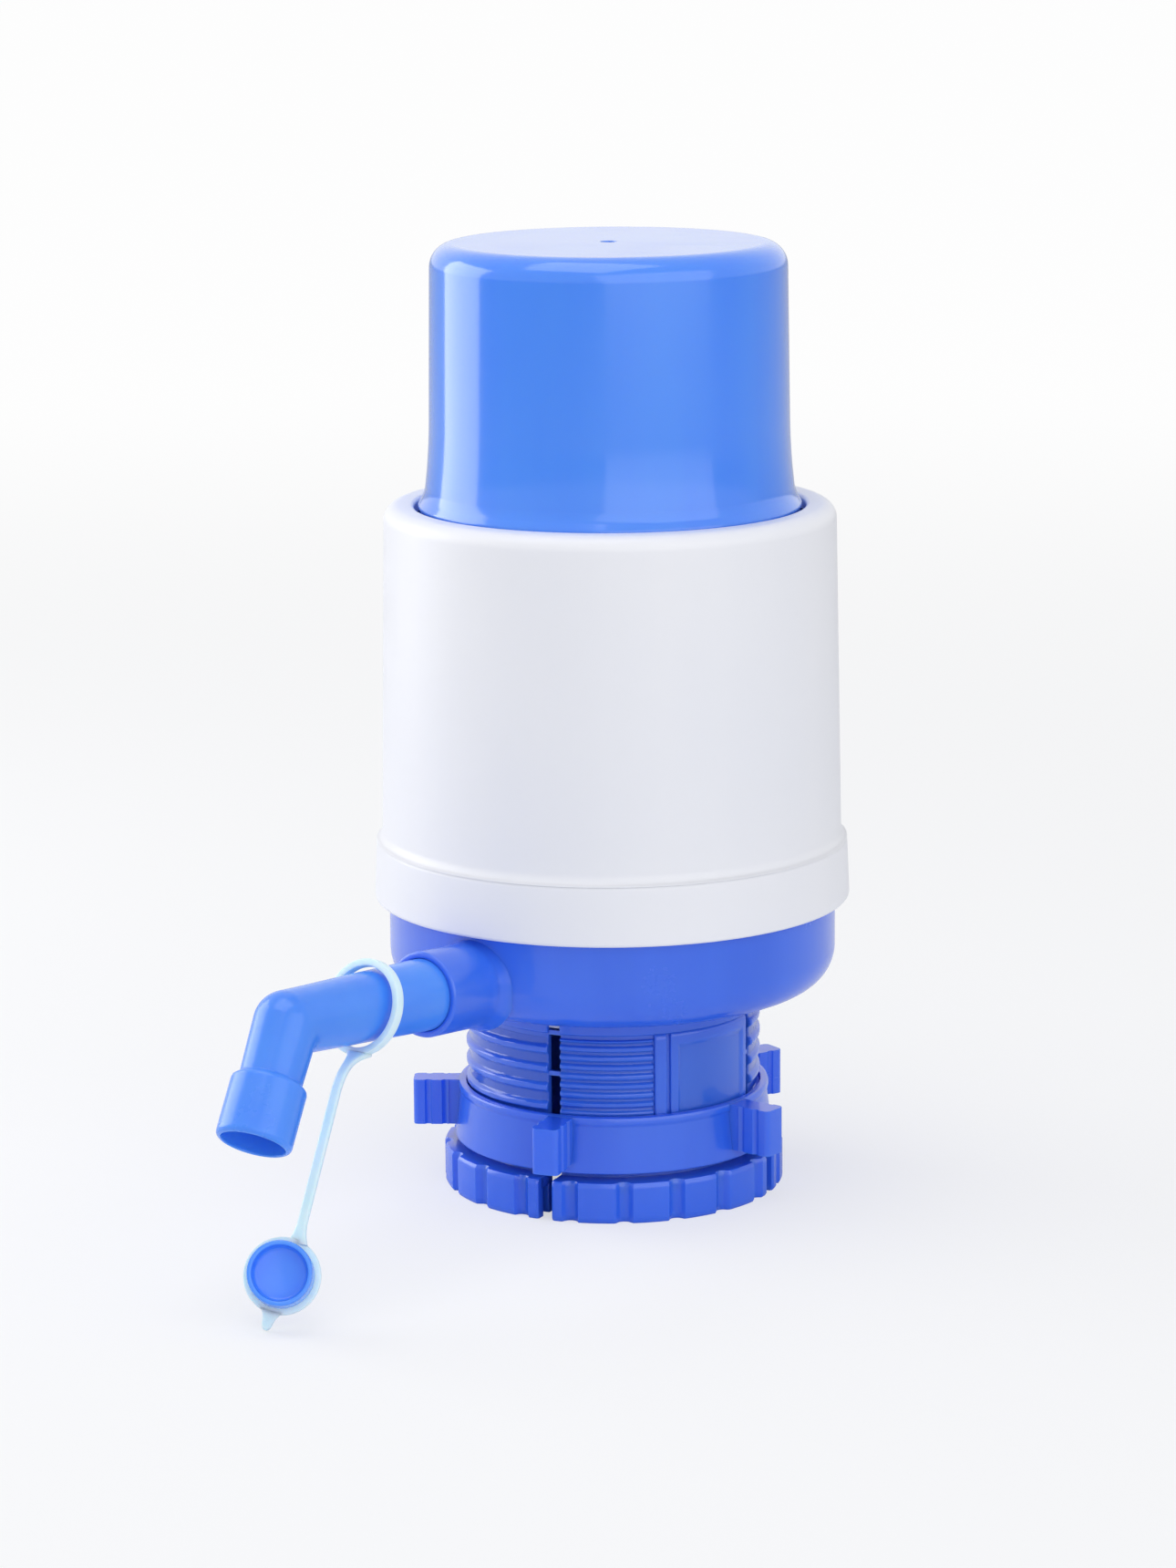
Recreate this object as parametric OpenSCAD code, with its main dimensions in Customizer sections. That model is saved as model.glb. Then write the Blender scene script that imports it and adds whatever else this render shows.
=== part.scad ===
// Hand pump for a large water bottle: a press cap works a bellows in a round housing.
// The base cup carries the spout, and a slotted collar under it is clamped on the bottle's neck.
// The origin is on the neck's axis at the foot's underside, and the spout points along -X.

/* [Neck collar] */
// Bore radius that takes the bottle's neck
neck_r = 28; // [26:0.5:29]
// Wall between the bore and the thread's root
collar_wall = 1.3; // [1:0.1:2]
// Height of the coarse thread and the ribs over their root
thread_h = 0.7; // [0.4:0.1:1]
// Pitch of the coarse thread
thread_pitch = 3.9; // [3:0.1:5]
// Pitch of the fine ribs
rib_pitch = 1.9; // [1.5:0.1:2.5]
// Height of the collar from the floor to the cup
collar_h = 41.4; // [38:0.2:46]
// How far the toothed foot stands out from the thread's root
foot_out = 5.4; // [5:0.1:8]
// Height of the toothed foot
foot_h = 8.2; // [6.5:0.1:10]
// Width of the four through slots
slot_w = 2.5; // [1.5:0.1:4]
// Number of teeth round the foot
teeth = 20; // [12:1:28]

/* [Clamp ring] */
// Gap between the foot and the clamp ring
ring_gap = 1.3; // [0.5:0.1:3]
// Height of the clamp ring
ring_h = 11.5; // [9:0.5:13]
// Thickness of the clamp ring at its foot
ring_wall = 2.45; // [2.4:0.05:3]
// How far the lugs stand out from the bore
lug_reach = 10.9; // [7:0.1:14]
// Thickness of a lug
lug_t = 5.5; // [4:0.1:7]
// Number of lugs
lugs = 5; // [3:1:6]

/* [Base cup] */
// Outer radius of the cup
cup_r = 45.3; // [44:0.1:48]
// Wall of the cup
cup_wall = 2; // [1.6:0.1:2.4]
// Radius of the cup's lower corner
cup_corner_r = 8; // [5:0.5:9]
// Thickness of the cup's floor
floor_t = 2.5; // [2.2:0.1:3]
// Gap between the riser and the air valve's cage over it
well_gap = 1.42; // [1:0.02:3]

/* [Spout] */
// Angle that the spout rises from level
spout_tilt = 4; // [0:0.5:6]
// Turn of the nozzle about the spout's own axis
spout_swivel = 10.2; // [-20:0.2:20]
// Angle of the nozzle's bend
nozzle_bend = 58.6; // [45:0.2:75]
// Height of the spout's line over the cup's underside at the neck's axis
spout_over_floor = 5.2; // [4.8:0.1:6.4]
// How far the socket reaches out from the cup
socket_out = 15.7; // [12:0.1:20]
// Length of the spout from the socket's mouth to the bend
pipe_out = 39.6; // [34:0.2:50]
// Wall of the socket on the cup
socket_wall = 1.3; // [1:0.1:1.6]
// Outer radius of the spout where it enters the socket
spout_r = 7.1; // [6.8:0.05:7.3]
// How much the spout's radius narrows to the bend
pipe_taper = 0.75; // [0.2:0.05:0.9]
// Thickness of the cuff round the nozzle's end
cuff_t = 1.3; // [1.1:0.05:1.8]
// Length of the nozzle from the bend to its end
nozzle_len = 24.5; // [20:0.5:32]
// Length of the cuff
cuff_len = 12.9; // [8:0.1:14]
// Wall between the cuff and the nozzle's bore
cuff_wall = 1.15; // [1:0.05:1.5]

/* [Tether] */
// Distance from the socket's mouth to the loop round the spout
loop_out = 17.3; // [12:0.1:22]
// Clearance of the loop round the spout
loop_gap = 0.8; // [0.6:0.05:1.4]
// Wall of the loop
loop_wall = 1.5; // [1:0.1:2]
// Width of the loop along the spout
loop_w = 2.2; // [1.5:0.1:2.4]
// Lean of the hanging loop, its foot outwards
loop_lean = 17; // [0:1:18]
// Width of the strap
strap_w = 2.1; // [1.4:0.1:3]
// Thickness of the strap and of the end ring
strap_t = 1.4; // [1:0.1:2]
// Rim of the end ring round the stopper
ring_rim = 1.15; // [0.9:0.05:2]
// Length of the stopper's plug
plug_len = 6; // [4:0.5:8]

/* [Housing] */
// Height of the housing over the cup's rim
housing_h = 70; // [66:0.5:80]
// How much the housing's wall narrows to its top
housing_taper = 1.2; // [0.4:0.1:1.6]
// Wall of the housing
housing_wall = 2; // [1.6:0.1:2.4]
// Thickness of the flange round the cup
flange_t = 2.6; // [2.2:0.1:3.4]
// How far the flange stands out from the housing's wall
flange_step = 1.7; // [1.2:0.1:2]
// How far the flange hangs over the cup's wall
flange_drop = 10.1; // [8:0.1:12]

/* [Press cap] */
// Height of the cap over the housing's rim
cap_h = 52; // [48:0.5:60]
// Clearance of the cap round the bellows
bellows_gap = 2.4; // [1.5:0.1:3]
// How much the cap widens from its top edge to its lip
cap_flare = 1.6; // [0.8:0.1:2]
// How far the lip stands out from the cap
lip_out = 1.3; // [0.8:0.1:1.6]
// Wall of the cap
cap_wall = 1.9; // [1.5:0.1:2.2]
// Radius of the cap's rounded top edge
cap_edge_r = 4.7; // [3:0.1:6]
// Radius of the air hole in the cap's top
air_hole_r = 1.6; // [1:0.1:2]

/* [Bellows] */
// Width of the ring that clamps the bellows, outside its folds
clamp_w = 6.8; // [6:0.1:9]
// Depth of the folds
fold_depth = 7.5; // [4:0.1:8]
// Wall of the bellows
bellows_wall = 1.2; // [0.8:0.1:1.5]
// Number of folds
folds = 10; // [6:1:12]

/* [Valves] */
// Radius of the intake valve's disc
intake_r = 10.4; // [9:0.1:10.6]
// Radius of the air valve's disc in the base
air_disc_r = 10; // [9:0.1:10.2]
// Thickness of both discs
disc_t = 1; // [0.8:0.1:1.4]
// Lift of the intake valve's disc
intake_lift = 1.2; // [0.8:0.1:1.6]
// Drop of the air valve's disc
air_lift = 1.6; // [1:0.1:1.8]

/* [Hidden] */
$fn = 96;

// Clearances that the pieces share
fit_gap = 0.1;
free_gap = 0.3;
seal_gap = 0.05;
cut = 1;

// Azimuths of the collar's slots, the lugs and the teeth
slot_az = 14;
lug_az = 54;
tooth_az = 5;
screw_az = 45;

// Places along the spout's line, from the neck's axis
socket_s = cup_r + socket_out;
elbow_s = socket_s + pipe_out;
loop_s = socket_s + loop_out;
channel_out = 0.7;
channel_len = 4.5;
arm_in = 1.5;
socket_floor_s = cup_r + channel_out;
arm_end = socket_floor_s - channel_len;
arm_join_s = arm_end - arm_in;

// Heights from the floor up
floor_top = collar_h + floor_t;
spout_z = collar_h + spout_over_floor;
riser_z = spout_z + arm_join_s * sin(spout_tilt);
arm_r = riser_z - floor_top - free_gap;
arm_wall = 1.4;
arm_bore_r = arm_r - arm_wall;
riser_cap_t = 1.6;
riser_top = riser_z + arm_bore_r + riser_cap_t;
air_cage_floor_t = 1.7;
plate_z = riser_top + well_gap + air_cage_floor_t + disc_t + air_lift;
seal_t = 1;
ledge_z = plate_z - seal_t;
plate_t = 3;
plate_top = plate_z + plate_t;
rim_over_plate = 6.5;
rim_z = plate_top + rim_over_plate;
housing_top = rim_z + housing_h;
cap_top = housing_top + cap_h;

// Radii of the base
cup_inner_r = cup_r - cup_wall;
ledge_w = 2.3;
ledge_r = cup_inner_r - ledge_w;
plate_r = cup_inner_r - free_gap;
collar_root_r = neck_r + collar_wall;
crest_r = collar_root_r + thread_h;
ring_bore_r = crest_r + fit_gap;
foot_r = collar_root_r + foot_out;
flange_r = cup_r + free_gap + flange_t;
housing_low_r = flange_r - flange_step;
housing_top_r = housing_low_r - housing_taper;
skirt_w = 1.8;
clamp_gap = 3.2;
clamp_r = plate_r - skirt_w - clamp_gap;
fold_r = clamp_r - clamp_w;
cap_top_r = fold_r + bellows_gap + cap_wall;
cap_low_r = cap_top_r + cap_flare;
lip_r = cap_low_r + lip_out;

// Radii of the spout, the nozzle and what goes on or in them
socket_gap = 0.05;
nozzle_taper = 0.3;
plug_gap = 0.05;
socket_bore_r = spout_r + socket_gap;
socket_r = socket_bore_r + socket_wall;
bend_r = spout_r - pipe_taper;
nozzle_r = bend_r - nozzle_taper;
cuff_r = nozzle_r + cuff_t;
nozzle_bore_r = cuff_r - cuff_wall;
plug_r = nozzle_bore_r - plug_gap;
loop_r = spout_r + loop_gap;
ring_r = plug_r + ring_rim;

// Turns children from a line along +Z to the spout's line
module on_spout() {
    translate([0, 0, spout_z])
        rotate([0, spout_tilt - 90, 0])
            rotate([0, 0, spout_swivel])
                children();
}

// Turns children from a line along +Z to the nozzle's line, from the bend on
module on_nozzle() {
    on_spout()
        translate([0, 0, elbow_s])
            rotate([0, -nozzle_bend, 0])
                children();
}

// Points on an arc from one angle to another
function arc(x, y, r, from, to, steps = 6) =
    [for (i = [0:steps]) [x + r * cos(from + (to - from) * i / steps), y + r * sin(from + (to - from) * i / steps)]];

// A flat ring
module annulus(inner, outer, low, high) {
    translate([0, 0, low])
        difference() {
            cylinder(r = outer, h = high - low);
            translate([0, 0, -cut]) cylinder(r = inner, h = high - low + 2 * cut);
        }
}

// Children repeated round the axis
module around(count, first) {
    for (i = [0:count - 1])
        rotate([0, 0, first + i * 360 / count])
            children();
}

// The cap's shell: its wall widens downwards to a lip, and a bead under the housing's edge keeps it in
lip_t = 0.8;
lip_over_edge = 0.7;
edge_t = 2.7;
neck_gap = 1;
bead_h = 2.7;
bead_out = 2;
flare_h = 2.7;
waist_h = 9;
waist_in_share = 0.6;
lip_z = housing_top - lip_over_edge;
cap_neck_r = lip_r - neck_gap;
bead_r = lip_r + bead_out;
bead_top = housing_top - edge_t - free_gap;
cap_foot_z = bead_top - bead_h;
cap_under = cap_top - cap_wall;
cap_waist_r = cap_low_r - (cap_low_r - cap_top_r) * waist_in_share;
inner_edge_r = cap_edge_r - cap_wall;

// The cap's inside holds two ring ribs that seat the valve cage and the bellows
boss_r = 14;
boss_wall = 1.5;
boss_h = 6;
outer_boss_r = 20.5;
boss_z = cap_under - boss_h;
rib_t = 1.2;
boss_ribs = 8;
valve_seat_h = 1.5;
valve_seat_r = 5.5;
valve_seat_w = 1.5;

module press_cap() {
    outer = concat(
        [[0, cap_top]],
        arc(cap_top_r - cap_edge_r, cap_top - cap_edge_r, cap_edge_r, 90, 0),
        [[cap_waist_r, lip_z + flare_h + waist_h],
            [cap_low_r, lip_z + flare_h],
            [lip_r, lip_z + lip_t],
            [lip_r, lip_z],
            [cap_neck_r, lip_z - lip_t],
            [cap_neck_r, bead_top],
            [bead_r, bead_top],
            [bead_r, bead_top - bead_h / 2],
            [cap_neck_r, cap_foot_z],
            [cap_neck_r - cap_wall, cap_foot_z],
            [cap_low_r - cap_wall, lip_z + flare_h],
            [cap_waist_r - cap_wall, lip_z + flare_h + waist_h]],
        arc(cap_top_r - cap_edge_r, cap_top - cap_edge_r, inner_edge_r, 0, 90),
        [[0, cap_under]]);
    color("royalblue")
        difference() {
            union() {
                rotate_extrude() polygon(outer);
                annulus(boss_r, boss_r + boss_wall, boss_z, cap_under + cap_wall / 2);
                annulus(outer_boss_r, outer_boss_r + boss_wall, boss_z, cap_under + cap_wall / 2);
                annulus(valve_seat_r - valve_seat_w, valve_seat_r, cap_under - valve_seat_h, cap_under + cap_wall / 2);
                around(boss_ribs, 0)
                    translate([boss_r + boss_wall / 2, -rib_t / 2, boss_z])
                        cube([outer_boss_r - boss_r, rib_t, boss_h + cap_wall / 2]);
            }
            translate([0, 0, cap_under - cut]) cylinder(r = air_hole_r, h = cap_wall + 2 * cut);
        }
}

// The intake valve's cage is pushed up into the inner boss, and its flange clamps the bellows
cage_r = boss_r - fit_gap;
disc_gap = 0.6;
cage_bore_r = intake_r + disc_gap;
cage_floor_t = 2;
cage_flange_t = 1.8;
cage_flange_r = outer_boss_r - free_gap;
bellows_lip_t = 1.5;
seat_z = cap_under - valve_seat_h;
cage_floor_z = seat_z - intake_lift - disc_t;
cage_flange_z = boss_z - bellows_lip_t - cage_flange_t;
hub_r = 4.5;
spokes = 3;
spoke_w = 2.5;

// A floor of spokes round a hub, which a valve disc rests on
module spider(bore_r, low, high) {
    translate([0, 0, low]) cylinder(r = hub_r, h = high - low);
    around(spokes, 0)
        translate([hub_r / 2, -spoke_w / 2, low])
            cube([bore_r - hub_r / 2 + rib_t / 2, spoke_w, high - low]);
}

module intake_valve_cage() {
    color("gainsboro")
        union() {
            annulus(cage_bore_r, cage_r, cage_flange_z, seat_z);
            annulus(cage_bore_r, cage_flange_r, cage_flange_z, cage_flange_z + cage_flange_t);
            spider(cage_bore_r, cage_floor_z - cage_floor_t, cage_floor_z);
        }
}

module intake_valve_disc() {
    color("dimgray")
        translate([0, 0, cage_floor_z]) cylinder(r = intake_r, h = disc_t);
}

// The bellows is one blown tube: a top disc with a hole, the folds, a neck and a foot flange
bellows_hole_r = boss_r + free_gap;
bellows_top_r = outer_boss_r + boss_wall;
foot_flange_t = 1.5;
foot_flange_r = fold_r;
bellows_neck_h = 5.5;
fold_root_r = fold_r - fold_depth;
neck_over_root = 1;
bellows_neck_r = fold_root_r + neck_over_root;
folds_low = plate_top + bellows_neck_h;
folds_high = boss_z - 2 * bellows_lip_t;
fold_pitch = (folds_high - folds_low) / folds;

// Radius along the zigzag at each half fold
function fold_points(inward) =
    [for (i = [0:2 * folds - 1])
        [(i % 2 == 0 ? fold_r : fold_root_r + bellows_wall) - inward, folds_low + (i + 0.5) * fold_pitch / 2]];

module bellows() {
    outside = concat(
        [[foot_flange_r, plate_top], [foot_flange_r, plate_top + foot_flange_t],
            [bellows_neck_r + bellows_wall, plate_top + foot_flange_t],
            [bellows_neck_r + bellows_wall, folds_low]],
        fold_points(0),
        [[bellows_top_r, boss_z - bellows_lip_t], [bellows_top_r, boss_z]]);
    inside = concat(
        [[bellows_neck_r, plate_top], [bellows_neck_r, folds_low]],
        fold_points(bellows_wall),
        [[bellows_top_r - bellows_wall, boss_z - bellows_lip_t], [bellows_hole_r, boss_z - bellows_lip_t],
            [bellows_hole_r, boss_z]]);
    color("whitesmoke")
        rotate_extrude()
            polygon(concat(outside, [for (i = [len(inside) - 1:-1:0]) inside[i]]));
}

// The ring that clamps the foot of the bellows on the valve plate, with its screws
clamp_t = 3;
clamp_top = plate_top + foot_flange_t + clamp_t;
screw_in = 3;
screw_at = clamp_r - screw_in;
screw_r = 1.5;
screw_head_r = 2.7;
screw_head_h = 2;
screw_depth = 5;
screw_slot_w = 0.8;
screws = 4;

module bellows_clamp_ring() {
    color("gainsboro")
        difference() {
            union() {
                annulus(bellows_neck_r + bellows_wall + free_gap, clamp_r, plate_top + foot_flange_t, clamp_top);
                annulus(foot_flange_r + free_gap, clamp_r, plate_top, clamp_top);
            }
            around(screws, screw_az)
                translate([screw_at, 0, plate_top - cut])
                    cylinder(r = screw_r + fit_gap, h = clamp_top - plate_top + 2 * cut);
        }
}

module plate_screws() {
    color("silver")
        around(screws, screw_az)
            translate([screw_at, 0, 0])
                difference() {
                    union() {
                        translate([0, 0, plate_top - screw_depth])
                            cylinder(r = screw_r, h = clamp_top - plate_top + screw_depth);
                        translate([0, 0, clamp_top]) cylinder(r = screw_head_r, h = screw_head_h);
                    }
                    translate([-screw_head_r, -screw_slot_w / 2, clamp_top + screw_head_h / 2])
                        cube([2 * screw_head_r, screw_slot_w, screw_head_h]);
                }
}

// The valve plate closes the cup, and air leaves the bellows through its six holes
port_r = 1.6;
ports = 6;
port_at = 6.4;
air_cage_r = air_disc_r + disc_gap;
air_cage_wall = 1.8;
air_floor_z = plate_z - air_lift - disc_t;
collar_rib_h = 2.5;
collar_rib_w = 1.4;
locator_h = 3;
locator_w = 1.6;
pilot_boss_r = 3.2;
pilot_boss_h = 4;

module valve_plate() {
    cage_outer = air_cage_r + air_cage_wall;
    locator_r = bellows_neck_r - free_gap;
    color("lightsteelblue")
        difference() {
            union() {
                translate([0, 0, plate_z]) cylinder(r = plate_r, h = plate_t);
                annulus(cage_outer + fit_gap, cage_outer + fit_gap + collar_rib_w, plate_z - collar_rib_h, plate_z + plate_t / 2);
                annulus(locator_r - locator_w, locator_r, plate_z + plate_t / 2, plate_top + locator_h);
                around(screws, screw_az)
                    translate([screw_at, 0, plate_z - pilot_boss_h]) cylinder(r = pilot_boss_r, h = pilot_boss_h + plate_t / 2);
            }
            around(ports, 0)
                translate([port_at, 0, plate_z - cut]) cylinder(r = port_r, h = plate_t + 2 * cut);
            around(screws, screw_az)
                translate([screw_at, 0, plate_top - screw_depth - fit_gap])
                    cylinder(r = screw_r + fit_gap, h = screw_depth + fit_gap + cut);
        }
}

module air_valve_cage() {
    color("gainsboro")
        union() {
            annulus(air_cage_r, air_cage_r + air_cage_wall, air_floor_z - air_cage_floor_t, plate_z);
            spider(air_cage_r, air_floor_z - air_cage_floor_t, air_floor_z);
        }
}

module air_valve_disc() {
    color("dimgray")
        translate([0, 0, air_floor_z]) cylinder(r = air_disc_r, h = disc_t);
}

// A flat seal under the valve plate's edge
module plate_seal() {
    color("dimgray")
        annulus(ledge_r + fit_gap, plate_r, ledge_z, plate_z);
}

// The housing stands on the cup's rim: a flange hangs outside it and a skirt inside holds the plate down
housing_edge_r = 3;
mouth_gap = 0.8;
shoulder_h = 2;
flange_draft = 0.5;
flange_edge = 0.6;
mouth_r = lip_r + mouth_gap;
mouth_edge = 0.8;

module housing() {
    flange_low = rim_z - flange_drop;
    flange_high = rim_z + shoulder_h;
    wall_low = flange_high + shoulder_h;
    skirt_r = plate_r - skirt_w;
    inner_low_r = housing_low_r - housing_wall;
    inner_top_r = housing_top_r - housing_wall;
    shape = concat(
        [[cup_r + free_gap, flange_low],
            [flange_r - flange_edge, flange_low],
            [flange_r, flange_low + flange_edge],
            [flange_r - flange_draft, flange_high - flange_edge],
            [flange_r - flange_draft - flange_edge, flange_high],
            [housing_low_r, flange_high + flange_edge]],
        arc(housing_top_r - housing_edge_r, housing_top - housing_edge_r, housing_edge_r, 0, 90),
        [[mouth_r + mouth_edge, housing_top],
            [mouth_r, housing_top - mouth_edge],
            [mouth_r, housing_top - edge_t],
            [inner_top_r, housing_top - edge_t],
            [inner_low_r, wall_low],
            [skirt_r, rim_z],
            [skirt_r, plate_top],
            [plate_r, plate_top],
            [plate_r, rim_z],
            [cup_r + free_gap, rim_z]]);
    color("white")
        rotate_extrude() polygon(shape);
}

// The base cup: an open bowl with the spout's socket, air holes and a groove for the collar's tongue
tongue_w = 0.7;
tongue_h = 1;
tongue_r = collar_root_r;
ledge_t = 1;
air_holes = 6;
air_hole_at = 16;
floor_hole_r = 2;
socket_root_in = 10;
socket_root_s = socket_floor_s - socket_root_in;
socket_edge = 0.5;
channel_gap = 0.2;
channel_r = arm_r - channel_gap;

// The riser joins the dip tube's socket to the spout's socket
riser_r = 7.6;
riser_drop = 3;
riser_flange_r = 12.5;
riser_flange_t = 2;
tube_r = 6;
tube_depth = 7;
riser_low = collar_h - riser_drop;
riser_hole_r = riser_r + free_gap;

module base_cup() {
    inner_corner_r = cup_corner_r - cup_wall;
    bowl = concat(
        [[riser_hole_r, collar_h]],
        arc(cup_r - cup_corner_r, collar_h + cup_corner_r, cup_corner_r, 270, 360),
        [[cup_r, rim_z],
            [cup_inner_r, rim_z],
            [cup_inner_r, ledge_z],
            [ledge_r, ledge_z],
            [ledge_r, ledge_z - ledge_t],
            [cup_inner_r, ledge_z - ledge_t - ledge_w]],
        arc(cup_inner_r - inner_corner_r, floor_top + inner_corner_r, inner_corner_r, 360, 270),
        [[riser_hole_r, floor_top]]);
    color("royalblue")
        difference() {
            union() {
                rotate_extrude() polygon(bowl);
                on_spout()
                    translate([0, 0, socket_root_s])
                        rotate_extrude()
                            polygon([[0, 0],
                                [socket_r, 0],
                                [socket_r, socket_s - socket_root_s - socket_edge],
                                [socket_r - socket_edge, socket_s - socket_root_s],
                                [0, socket_s - socket_root_s]]);
            }
            on_spout() translate([0, 0, socket_floor_s]) cylinder(r = socket_bore_r, h = socket_s);
            on_spout() translate([0, 0, arm_join_s]) cylinder(r = channel_r, h = socket_floor_s - arm_join_s + cut);
            translate([-socket_root_s + channel_r, 0, riser_z])
                rotate([0, -90, 0])
                    cylinder(r = arm_r + fit_gap, h = arm_end + fit_gap - socket_root_s + channel_r);
            around(air_holes, 0)
                translate([air_hole_at, 0, collar_h - cut]) cylinder(r = floor_hole_r, h = floor_t + 2 * cut);
            annulus(tongue_r - tongue_w / 2 - fit_gap, tongue_r + tongue_w / 2 + fit_gap,
                collar_h - cut, collar_h + tongue_h + fit_gap);
        }
}

// A round seal ring that lies loose in its groove, square to +Z
module seal_ring(centre_r, section_r) {
    rotate_extrude()
        translate([centre_r, 0]) circle(r = section_r);
}

riser_ring_in = 2.9;
riser_ring_s = arm_end - riser_ring_in;
riser_groove_d = 0.65;
riser_ring_groove = arm_r - riser_groove_d;
riser_ring_r = (riser_groove_d + fit_gap) / 2 - seal_gap;
riser_ring_w = 1.1;

module riser_elbow() {
    color("whitesmoke")
        difference() {
            union() {
                translate([0, 0, riser_low]) cylinder(r = riser_r, h = riser_top - riser_low);
                translate([0, 0, floor_top]) cylinder(r = riser_flange_r, h = riser_flange_t);
                translate([0, 0, riser_z]) rotate([0, -90, 0]) cylinder(r = arm_r, h = arm_end);
            }
            translate([0, 0, riser_low - cut]) cylinder(r = tube_r, h = tube_depth + cut);
            translate([0, 0, riser_low]) cylinder(r = arm_bore_r, h = riser_z - riser_low);
            translate([0, 0, riser_z]) sphere(r = arm_bore_r);
            translate([0, 0, riser_z]) rotate([0, -90, 0]) cylinder(r = arm_bore_r, h = arm_end + cut);
            translate([-riser_ring_s, 0, riser_z])
                rotate([0, -90, 0])
                    annulus(riser_ring_groove, arm_r + cut, -riser_ring_w / 2, riser_ring_w / 2);
        }
}

module riser_o_ring() {
    color("dimgray")
        translate([-riser_ring_s, 0, riser_z])
            rotate([0, -90, 0])
                seal_ring((riser_ring_groove + arm_r + fit_gap) / 2, riser_ring_r);
}

// The neck collar: four fingers round the bottle's neck, threaded outside, on a toothed foot
band_h = 4.2;
band_low = collar_h - band_h;
thread_under_band = 1.6;
thread_over_foot = 1.1;
thread_top = band_low - thread_under_band;
thread_low = foot_h + thread_over_foot;
crest_w = 0.9;
flank_w = 0.6;
rib_crest_w = 0.6;
rib_flank_w = 0.35;
rib_h_share = 0.7;
root_in = 0.5;
valley_h = 0.06;
panel_h_share = 0.9;
panel_margin = 2.2;
panel_margin_az = 4;
panel_recess = 0.35;
slot_top_t = 1.9;
bar_h = 0.9;
bar_t = 0.8;
bar_in = 0.3;
bar_gap = 8.4;
bar_drop = 1.7;
upright_az = 2.7;
upright_w = 2.6;
groove_w = 1;
groove_in = 0.2;
tooth_groove_r = 1.6;
tooth_groove_out = 0.3;
foot_core_h = 6;
gasket_t = 3.2;
seat_in = 0.8;
foot_core_w = 2.4;
slots = 4;
quarter = 90;
eighth = 45;

// A part turn of an outline, from one azimuth over an angle of at most a quarter turn
module part_turn(from, sweep) {
    reach = 2 * foot_r;
    intersection() {
        rotate_extrude() children();
        rotate([0, 0, from])
            linear_extrude(height = collar_h)
                polygon([[0, 0], [reach, 0], [reach, reach * tan(sweep / 2)],
                    [reach * cos(sweep), reach * sin(sweep)]]);
    }
}

// The outline of evenly spaced ridges that stand on the collar's root
module ridges(pitch, height, crest, flank) {
    count = floor((thread_top - thread_low) / pitch);
    flanks = [for (i = [count:-1:0])
        let (z = thread_top - i * pitch)
        each [[collar_root_r + valley_h, z - crest / 2 - flank], [collar_root_r + height, z - crest / 2],
            [collar_root_r + height, z + crest / 2], [collar_root_r + valley_h, z + crest / 2 + flank]]];
    polygon(concat(
        [[collar_root_r - root_in, thread_top - count * pitch - crest / 2 - flank]],
        flanks,
        [[collar_root_r - root_in, thread_top + crest / 2 + flank]]));
}

module neck_collar() {
    rib_h = thread_h * rib_h_share;
    panel_r = collar_root_r + thread_h * panel_h_share;
    slot_top = collar_h - slot_top_t;
    color("royalblue") {
        difference() {
            union() {
                annulus(neck_r, collar_root_r, foot_h - cut, collar_h);
                annulus(collar_root_r - root_in, collar_root_r + rib_h, band_low, collar_h);
                annulus(tongue_r - tongue_w / 2, tongue_r + tongue_w / 2, collar_h - cut, collar_h + tongue_h);
                for (half = [0, 180]) {
                    part_turn(half + slot_az + quarter, quarter)
                        ridges(thread_pitch, thread_h, crest_w, flank_w);
                    part_turn(half + slot_az, eighth)
                        ridges(rib_pitch, rib_h, rib_crest_w, rib_flank_w);
                    part_turn(half + slot_az + eighth, eighth)
                        polygon([[collar_root_r - root_in, thread_low], [panel_r, thread_low],
                            [panel_r, band_low + cut], [collar_root_r - root_in, band_low + cut]]);
                    rotate([0, 0, half + slot_az + eighth - upright_az])
                        translate([neck_r + root_in, -upright_w / 2, thread_low])
                            cube([crest_r - neck_r - root_in, upright_w, band_low - thread_low]);
                }
                difference() {
                    annulus(neck_r, foot_r, 0, foot_h);
                    annulus(collar_root_r + root_in, collar_root_r + root_in + foot_core_w, -cut, foot_core_h);
                    around(teeth, tooth_az)
                        translate([foot_r + tooth_groove_out, 0, -cut]) cylinder(r = tooth_groove_r, h = foot_h + 2 * cut);
                }
            }
            translate([0, 0, collar_h - gasket_t]) cylinder(r = neck_r + seat_in, h = gasket_t);
            around(slots, slot_az)
                translate([neck_r - cut, -slot_w / 2, -cut]) cube([foot_r - neck_r + 2 * cut, slot_w, slot_top + cut]);
            around(slots, slot_az + eighth)
                translate([collar_root_r - groove_in, -groove_w / 2, foot_h + groove_in])
                    cube([thread_h + groove_in + cut, groove_w, band_low - foot_h]);
            for (half = [0, 180])
                part_turn(half + slot_az + eighth + panel_margin_az, eighth - 2 * panel_margin_az)
                    polygon([[panel_r - panel_recess, thread_low + panel_margin],
                        [panel_r + cut, thread_low + panel_margin],
                        [panel_r + cut, band_low - panel_margin],
                        [panel_r - panel_recess, band_low - panel_margin]]);
        }
        for (drop = [0, bar_gap])
            around(slots, slot_az)
                translate([neck_r + bar_in, -slot_w / 2 - bar_in, slot_top - bar_drop - drop - bar_h])
                    cube([bar_t, slot_w + 2 * bar_in, bar_h]);
    }
}

// The soft washer that the bottle's lip presses on, in its seat in the collar
gasket_w = 9.7;

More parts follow.
